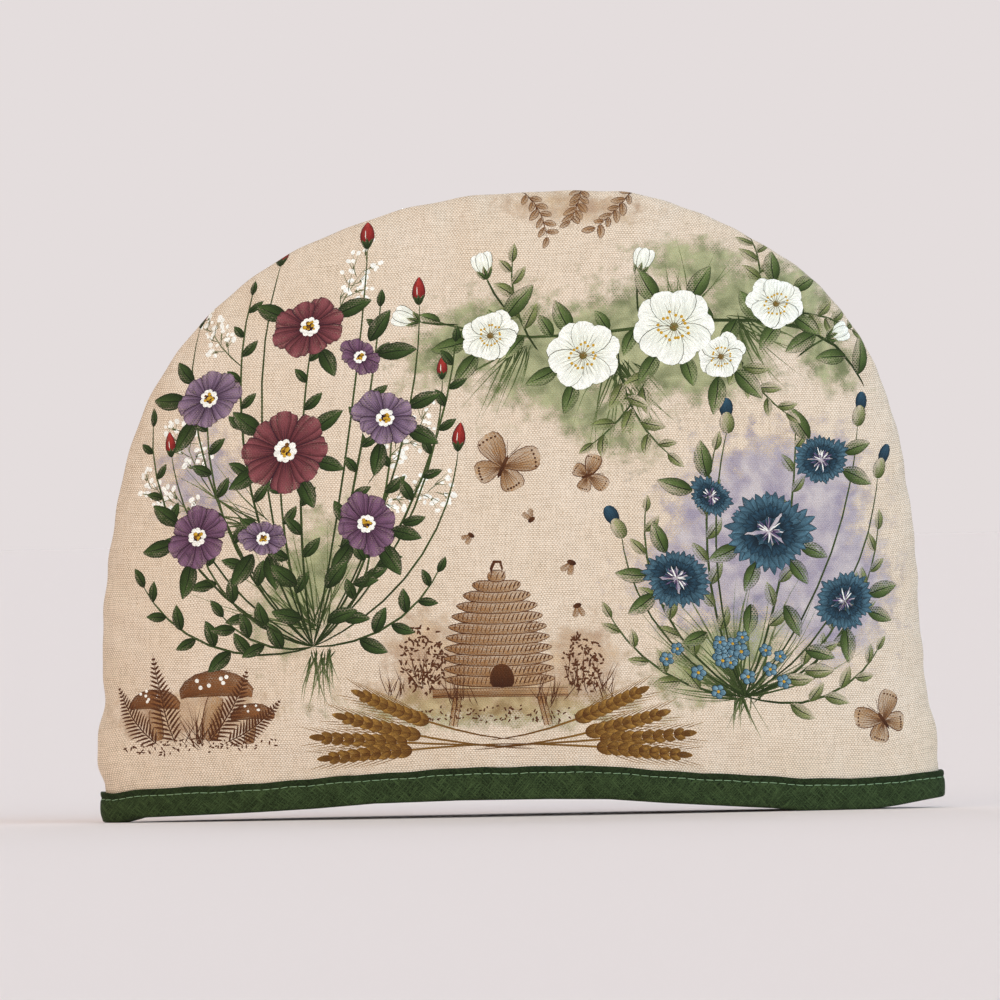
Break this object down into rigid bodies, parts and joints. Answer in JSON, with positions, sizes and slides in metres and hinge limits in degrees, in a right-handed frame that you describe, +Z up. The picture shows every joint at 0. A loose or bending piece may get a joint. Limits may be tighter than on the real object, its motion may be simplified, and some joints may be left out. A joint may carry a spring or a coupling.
{
  "type": "tea cosy",
  "caption": "Padded cloth tea cosy: a dome of two seamed panels, open below, with a bound hem on which it stands over a teapot.",
  "frame": {"origin": "on the surface that the cosy stands on, under the middle of its outline", "axes": "+Z up through the dome, +X along the width, -Y towards the front panel"},
  "size_m": [0.339, 0.0955, 0.2503],
  "materials": {
    "printed_canvas": "matte printed cotton canvas, floral on ecru",
    "bias_cotton": "matte dark green bias-cut plain weave cotton"
  },
  "bodies": {
    "root": {"front_panel": "printed_canvas", "back_panel": "printed_canvas", "hem_binding": "bias_cotton"}
  },
  "joints": []
}
